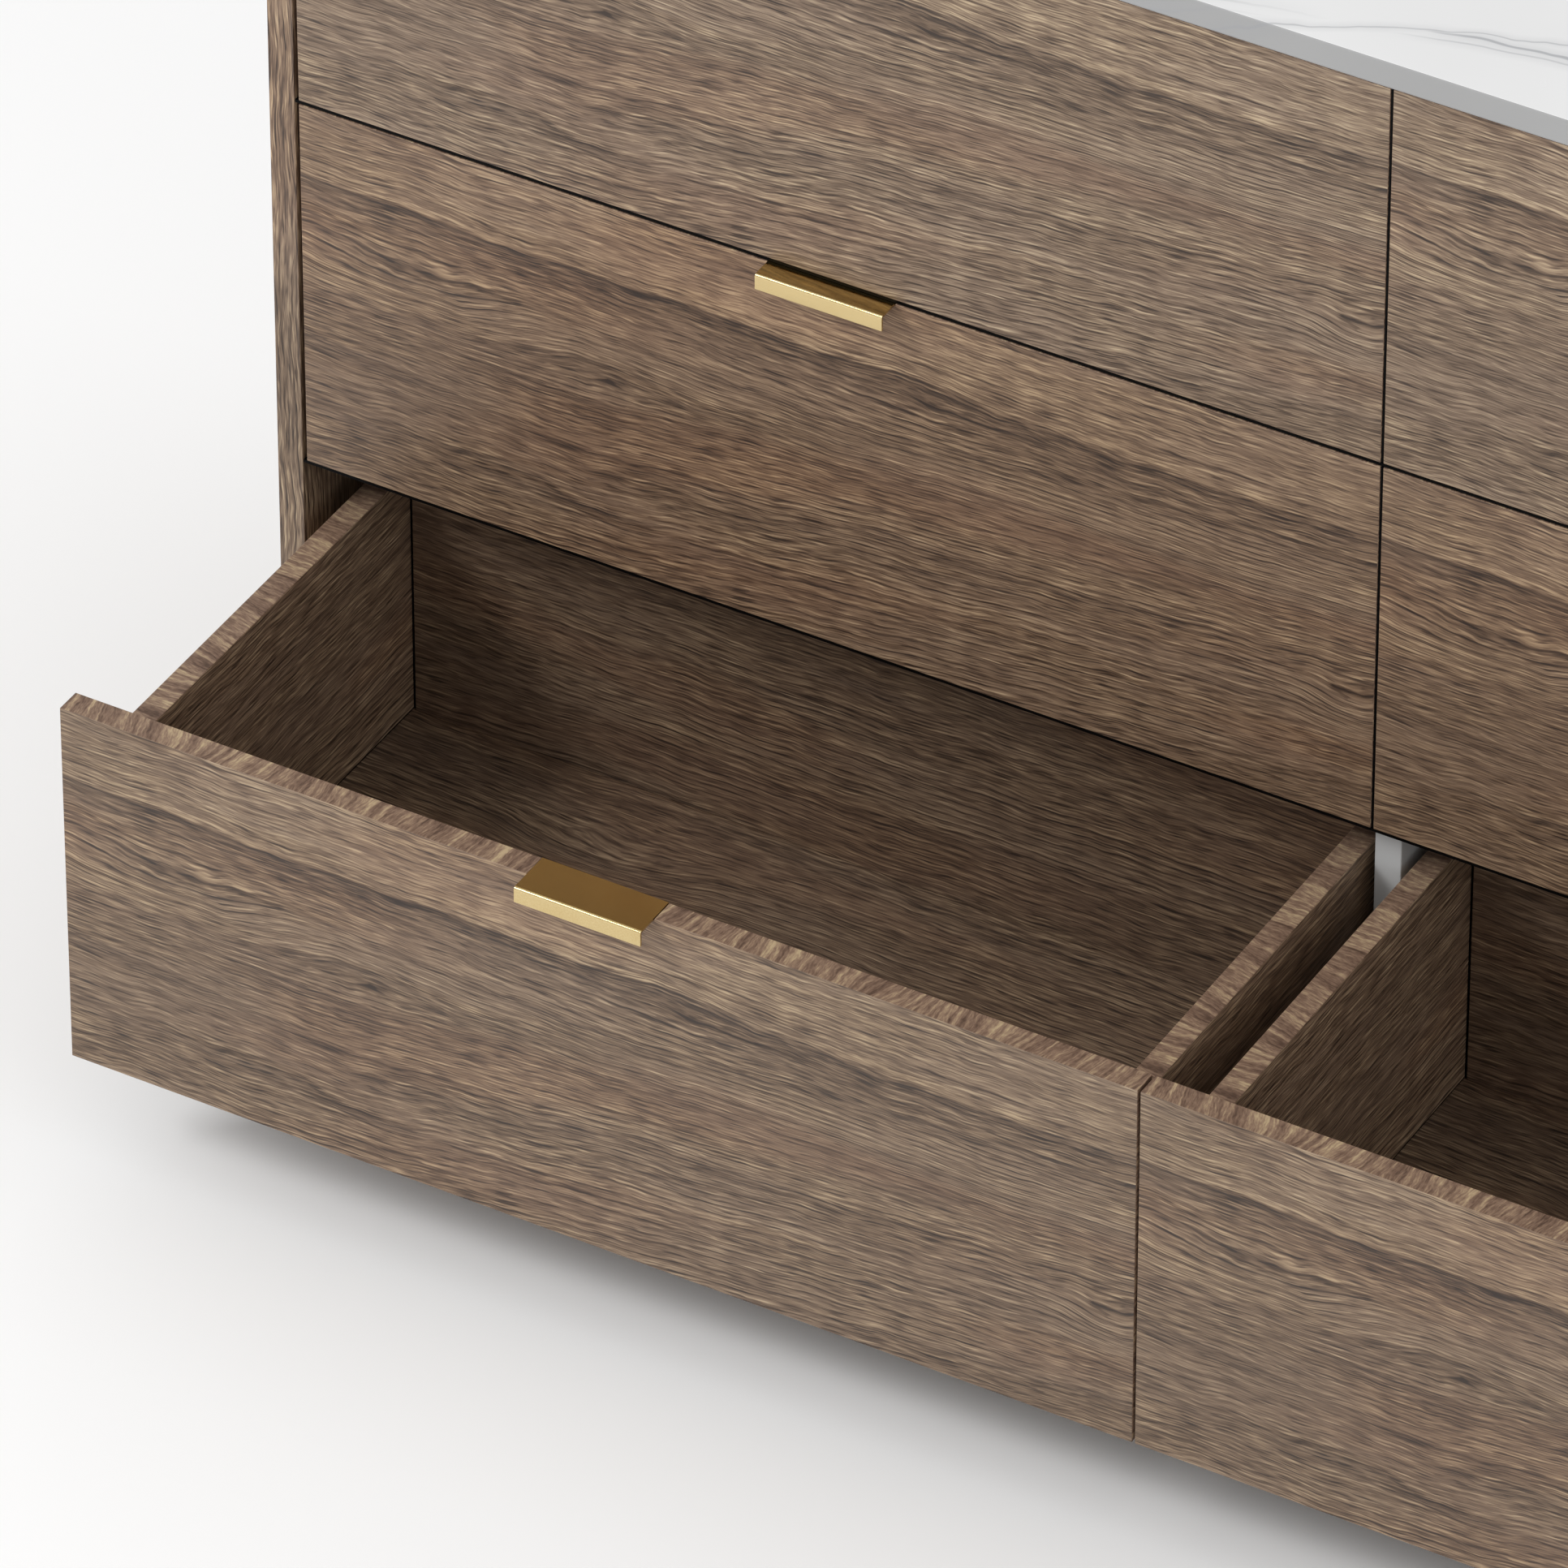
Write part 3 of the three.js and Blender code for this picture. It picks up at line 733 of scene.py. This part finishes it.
def back_panel():
    """The back with its two service holes."""
    low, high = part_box("back_panel")
    bm = bmesh.new()
    centres = [sum(c.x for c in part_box(f"top_{column}_front")) / 2 for column in COLUMNS]
    loops = [rectangle((low.x, low.z), (high.x, high.z))] + [rounded_hole(x) for x in centres]
    edges = []
    for loop in loops:
        verts = [bm.verts.new((x, low.y, z)) for x, z in loop]
        edges += [bm.edges.new(pair) for pair in zip(verts, verts[1:] + verts[:1])]
    made = bmesh.ops.triangle_fill(bm, use_beauty=True, use_dissolve=False, edges=edges)
    faces = [g for g in made["geom"] if isinstance(g, bmesh.types.BMFace)]
    grown = bmesh.ops.extrude_face_region(bm, geom=faces)
    moved = [g for g in grown["geom"] if isinstance(g, bmesh.types.BMVert)]
    bmesh.ops.translate(bm, verts=moved, vec=(0, high.y - low.y, 0))
    bmesh.ops.recalc_face_normals(bm, faces=bm.faces)
    lay_grain(bm, X, Y, low)
    piece("back_panel_board", bm, (interior, interior_edge), "carcass", "walnut_interior", "back_panel")


def back_screws():
    """Screws through the back panel into the divider and into the cabinet floor's rear edge."""
    low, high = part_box("back_panel")
    floor_low, floor_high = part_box("cabinet_floor")
    rise = (high.z - low.z) / BACK_SCREW_STEPS
    floor_middle = (floor_low.z + floor_high.z) / 2
    places = [(0.0, low.z + rise * step) for step in range(1, BACK_SCREW_STEPS)]
    places += [(share * (high.x - low.x), floor_middle) for share in BACK_SCREW_PLACES]
    bm = bmesh.new()
    for x, z in places:
        screw(bm, (x, high.y, z), Y, 1, BACK_SCREW_SIZE)
    piece("back_panel_screws", bm, (screw_steel,), "carcass", "zinc_steel", round_under=35)


def top_rail_and_floor():
    plain_board("front_top_rail", (interior, interior_edge), X, Z, "carcass", "walnut_interior")
    plain_board("cabinet_floor", (interior, interior_edge), X, Z, "carcass", "walnut_interior")


def row_shadow_strips():
    """Thin black strips that fill the gaps between the rows of fronts, from side panel to side panel:
    painted shadow in the gaps.
    """
    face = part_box("top_left_front")[0].y
    ends = (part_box("left_side_panel")[1].x + JOINT_GAP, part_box("right_side_panel")[0].x - JOINT_GAP)
    for row in ROWS[1:]:
        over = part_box(f"{row}_left_front")[0].z
        low, high = over - STRIP_CLEARANCE - STRIP_HEIGHT, over - STRIP_CLEARANCE
        bm = prism(rectangle((face + STRIP_SETBACK, low), (face + STRIP_DEPTH, high)), X, *ends)
        piece(f"{row}_row_shadow_strip", bm, (painted_shade_black,), "carcass", "zinc_steel")


def column_shadow_strips():
    """Thin black strips in the gap between the columns, one for each closed row: painted shadow in the gap.
    """
    edge_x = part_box("top_left_front")[1].x
    gap = (edge_x + STRIP_CLEARANCE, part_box("top_right_front")[0].x - STRIP_CLEARANCE)
    for row in ROWS[1:]:
        low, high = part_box(f"{row}_left_front")
        depth = (low.y + STRIP_SETBACK, low.y + STRIP_DEPTH)
        outline = rectangle((gap[0], depth[0]), (gap[1], depth[1]))
        bm = prism(outline, Z, low.z + STRIP_CLEARANCE, high.z - STRIP_CLEARANCE)
        piece(f"{row}_column_shadow_strip", bm, (painted_shade_black,), "carcass", "zinc_steel")


def feet():
    """Tapered square feet, each on a black glide."""
    for name in ("front_left_foot", "front_right_foot", "rear_left_foot", "rear_right_foot", "centre_foot"):
        low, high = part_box(name)
        middle = (low + high) / 2
        top = (high.x - low.x) / 2
        rise = low.z + GLIDE_HEIGHT
        base = FOOT_BASE_HALF + (top - FOOT_BASE_HALF) * GLIDE_HEIGHT / (high.z - low.z)
        bm = bmesh.new()
        rings = []
        for half, z in ((base, rise), (top, high.z)):
            rings.append([
                bm.verts.new((middle.x + half * sx, middle.y + half * sy, z))
                for sx, sy in ((-1, -1), (1, -1), (1, 1), (-1, 1))
            ])
        bm.faces.new(rings[0])
        bm.faces.new(rings[1])
        for i, j in ((0, 1), (1, 2), (2, 3), (3, 0)):
            bm.faces.new((rings[0][i], rings[0][j], rings[1][j], rings[1][i]))
        bmesh.ops.recalc_face_normals(bm, faces=bm.faces)
        soften(bm, FOOT_CORNER, 3, lambda e: abs(e.verts[0].co.z - e.verts[1].co.z) > UPRIGHT_RISE)
        soften(bm, FOOT_BEVEL, 2)
        lay_grain(bm, Z, X, Vector((middle.x, middle.y, 0)), "along")
        piece(f"{name}_block", bm, (foot_wood,), "carcass", "solid_walnut", name)
        glide = bmesh.new()
        lathe(glide, GLIDE, (middle.x, middle.y, low.z), Z, 1, 28)
        piece(f"{name}_glide", glide, (black_plastic,), "carcass", "solid_walnut", round_under=40)


# ---- Drawers ----
def drawer_front(name, body, veneer):
    """The front board, with a shallow rebate for its pull."""
    low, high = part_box(f"{name}_front")
    pull_low, pull_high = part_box(f"{name}_pull")
    notch = (pull_low.x - PULL_END_GAP, pull_high.x + PULL_END_GAP)
    notch_z = high.z - PULL_REBATE
    outline = [
        (low.x, low.z), (high.x, low.z), (high.x, high.z), (notch[1], high.z),
        (notch[1], notch_z), (notch[0], notch_z), (notch[0], high.z), (low.x, high.z),
    ]
    bm = prism(outline, Y, low.y, high.y)

    def outer(edge):
        return edge.calc_length() > SHORT_EDGE and min(v.co.z for v in edge.verts) != notch_z

    soften(bm, FRONT_BEVEL, 3, outer)
    lay_grain(bm, X, Y, low)
    piece(f"{name}_front_board", bm, (veneer, veneer_edge), body, "walnut_veneer", f"{name}_front")


def drawer_pull(name, body):
    """A bent brass sheet; its plate, which faces up, has a darker brass that is painted shade."""
    low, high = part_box(f"{name}_pull")
    half = PULL_SHEET / 2
    path = ((high.y, high.z - half), (low.y + half, high.z - half), (low.y + half, low.z))
    bm = prism(bent_sheet(path, PULL_SHEET, PULL_INNER_RADIUS, 8), X, low.x, high.x)
    soften(bm, PULL_EDGE, 2)
    for face in bm.faces:
        # Painted shade: the faces that point up take the darker brass.
        face.material_index = 1 if face.normal.z > 0.9 else 0
    piece(
        f"{name}_pull_sheet", bm, (satin_brass, plate_brass_painted_shade), body, "brass", f"{name}_pull", round_under=35,
    )


def drawer_box(name, body):
    """Two grooved sides, a back and a bottom."""
    bottom_low, bottom_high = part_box(f"{name}_bottom")
    groove = (bottom_low.z - JOINT_GAP, bottom_high.z + JOINT_GAP + SHADOW_JOINT)
    for side, sign in SIDES:
        low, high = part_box(f"{name}_{side}_side")
        outer, inner = (low.x, high.x) if sign < 0 else (high.x, low.x)
        deep = inner + sign * GROOVE_DEPTH
        outline = [
            (outer, low.z), (outer, high.z), (inner, high.z), (inner, groove[1]),
            (deep, groove[1]), (deep, groove[0]), (inner, groove[0]), (inner, low.z),
        ]
        bm = prism(outline, Y, low.y, high.y)
        rims = (low.z, high.z)

        def at_rim(edge):
            return any(min(abs(v.co.z - z) for z in rims) < TOLERANCE for v in edge.verts)

        soften(bm, BOARD_BEVEL, 2, at_rim)
        lay_grain(bm, Y, X, low)
        piece(
            f"{name}_{side}_side_board", bm, (box_side_painted_light, interior_edge), body, "walnut_interior",
            f"{name}_{side}_side",
        )
    plain_board(f"{name}_back", (interior, interior_edge), X, Y, body, "walnut_interior", trim=SHADOW_JOINT)
    plain_board(f"{name}_bottom", (interior, interior_edge), X, Z, body, "walnut_interior")


def joint_shadow_beads(name, body):
    """Thin black beads in the box's joints, up the back's two ends and along the bottom's two sides:
    painted shadow in the joints.
    """
    back_low, back_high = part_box(f"{name}_back")
    bottom_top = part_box(f"{name}_bottom")[1].z
    bm = bmesh.new()
    for side, sign in SIDES:
        low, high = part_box(f"{name}_{side}_side")
        inner = high.x if sign < 0 else low.x
        upright = (inner - sign * BEAD_CLEARANCE, inner - sign * (BEAD_CLEARANCE + BEAD_SIZE))
        lying = (inner + sign * BEAD_CLEARANCE, inner + sign * (BEAD_CLEARANCE + 2 * BEAD_SIZE))
        front = low.y + BEAD_CLEARANCE
        add_block(
            bm,
            (min(upright), back_low.y + BEAD_SETBACK, bottom_top + BEAD_SIZE),
            (max(upright), back_high.y - BEAD_SETBACK, back_high.z - BEAD_SETBACK),
        )
        add_block(
            bm,
            (min(lying), front, bottom_top + BEAD_CLEARANCE),
            (max(lying), back_high.y, bottom_top + BEAD_CLEARANCE + BEAD_SIZE),
        )
    piece(f"{name}_joint_shadow_beads", bm, (painted_shade_black,), body, "walnut_interior")


def box_screws(name, body):
    """Screws through the box sides into the drawer's back board."""
    back_low, back_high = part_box(f"{name}_back")
    middle = (back_low.y + back_high.y) / 2
    bm = bmesh.new()
    for side, sign in SIDES:
        low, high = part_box(f"{name}_{side}_side")
        face = low.x if sign < 0 else high.x
        for share in BOX_SCREW_PLACES:
            z = back_low.z + (back_high.z - back_low.z) * share
            screw(bm, (face, middle, z), X, sign, BOX_SCREW_SIZE)
    piece(f"{name}_box_screws", bm, (screw_steel,), body, "zinc_steel", round_under=35)


def runner(name, side, sign, body):
    """A bent cabinet rail, and the drawer's own member that rolls in it."""
    node = f"{name}_{side}_rail"
    low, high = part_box(node)
    wall, lip = (low.x, high.x) if sign < 0 else (high.x, low.x)
    inward = -sign
    half = RAIL_SHEET / 2
    path = (
        (wall + inward * half, high.z), (wall + inward * half, low.z + half),
        (lip - inward * half, low.z + half), (lip - inward * half, low.z + RAIL_LEG_RISE),
    )
    bm = prism(bent_sheet(path, RAIL_SHEET, RAIL_BEND_RADIUS), Y, low.y, high.y)
    for y in (*(low.y + setback for setback in RAIL_SCREW_SETBACKS), high.y - RAIL_REAR_SCREW):
        place = (wall + inward * RAIL_SHEET, y, high.z - RAIL_SCREW_DROP)
        screw(bm, place, X, inward, RAIL_SCREW_SIZE, 1)
    piece(f"{node}_sheet", bm, (zinc_steel, screw_steel), "carcass", "zinc_steel", node, round_under=35)

    side_low, side_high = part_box(f"{name}_{side}_side")
    bottom_low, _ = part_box(f"{name}_bottom")
    inner = side_high.x if sign < 0 else side_low.x
    near = inner + inward * MEMBER_SIDE_GAP
    far = near + inward * MEMBER_WIDTH
    foot = low.z + RAIL_SHEET + MEMBER_FOOT_GAP
    head = bottom_low.z - MEMBER_HEAD_GAP
    path = (
        (near + inward * half, foot), (near + inward * half, head - half),
        (far - inward * half, head - half), (far - inward * half, foot),
    )
    ends = (side_low.y + MEMBER_SETBACKS[0], side_high.y - MEMBER_SETBACKS[1])
    bm = prism(bent_sheet(path, RAIL_SHEET, MEMBER_BEND_RADIUS), Y, *ends)
    wheel_x = (near + far) / 2 - inward * WHEEL_WIDTH / 2
    wheel_place = (wheel_x, side_high.y - WHEEL_SETBACK, foot + WHEEL_RISE)
    lathe(bm, WHEEL, wheel_place, X, inward, 24, 1)
    piece(f"{name}_{side}_member", bm, (zinc_steel, white_nylon), body, "zinc_steel", round_under=35)


def buffers(name, column, body):
    """Two soft dots behind the front, where it meets the divider's edge."""
    low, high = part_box(f"{name}_front")
    x = high.x - BUFFER_INSET if column == "left" else low.x + BUFFER_INSET
    bm = bmesh.new()
    for z in (low.z + BUFFER_RISE, high.z - BUFFER_DROP):
        lathe(bm, BUFFER, (x, high.y, z), Y, 1, 20)
    piece(f"{name}_buffers", bm, (white_nylon,), body, "grey_board", round_under=40)


def drawers():
    for row in ROWS:
        for column in COLUMNS:
            name = f"{row}_{column}"
            body = f"{name}_drawer"
            drawer_front(name, body, veneers[row])
            drawer_pull(name, body)
            drawer_box(name, body)
            joint_shadow_beads(name, body)
            box_screws(name, body)
            buffers(name, column, body)
            for side, sign in SIDES:
                runner(name, side, sign, body)


# ---- Stage ----
def look_along(back, roll):
    """A camera's rotation, from the direction behind it and its roll in degrees."""
    forward = -back
    right = forward.cross(Vector((0, 0, 1))).normalized()
    right = Matrix.Rotation(math.radians(roll), 3, forward) @ right
    up = right.cross(forward)
    return Matrix((right, up, back)).transposed().to_quaternion()


def camera():
    data = bpy.data.cameras.new("view")
    data.lens = CAMERA_LENS
    data.sensor_width = SENSOR_WIDTH
    data.clip_end = 100.0
    made = bpy.data.objects.new("view", data)
    azimuth, elevation = math.radians(CAMERA_AZIMUTH), math.radians(CAMERA_ELEVATION)
    level = math.cos(elevation)
    back = Vector((math.sin(azimuth) * level, -math.cos(azimuth) * level, math.sin(elevation)))
    made.location = CAMERA_PLACE
    made.rotation_mode = "QUATERNION"
    made.rotation_quaternion = look_along(back, CAMERA_ROLL)
    bpy.context.scene.collection.objects.link(made)
    bpy.context.scene.camera = made


def area_light(name, place, target, size, power):
    data = bpy.data.lights.new(name, "AREA")
    data.shape = "SQUARE"
    data.size = size
    data.energy = power
    made = bpy.data.objects.new(name, data)
    made.location = place
    back = (Vector(place) - Vector(target)).normalized()
    made.rotation_mode = "QUATERNION"
    made.rotation_quaternion = look_along(back, 0.0)
    bpy.context.scene.collection.objects.link(made)


def stage():
    world = bpy.data.worlds.new("studio")
    world.use_nodes = True
    background = world.node_tree.nodes["Background"]
    background.inputs["Color"].default_value = (1.0, 1.0, 1.0, 1.0)
    background.inputs["Strength"].default_value = DOME_STRENGTH
    bpy.context.scene.world = world
    bpy.context.scene.view_settings.view_transform = "Standard"
    for light in LIGHTS:
        area_light(*light)
    outline = rectangle((-FLOOR_REACH, -FLOOR_REACH), (FLOOR_REACH, FLOOR_REACH))
    bm = prism(outline, Z, -FLOOR_THICKNESS, 0.0)
    mesh = bpy.data.meshes.new("floor")
    bm.to_mesh(mesh)
    bm.free()
    mesh.materials.append(pale_floor())
    floor = bpy.data.objects.new("floor", mesh)
    bpy.context.scene.collection.objects.link(floor)


camera()
stage()
side_panels()
centre_divider()
top_rail_and_floor()
back_panel()
back_screws()
row_shadow_strips()
column_shadow_strips()
counter()
feet()
drawers()
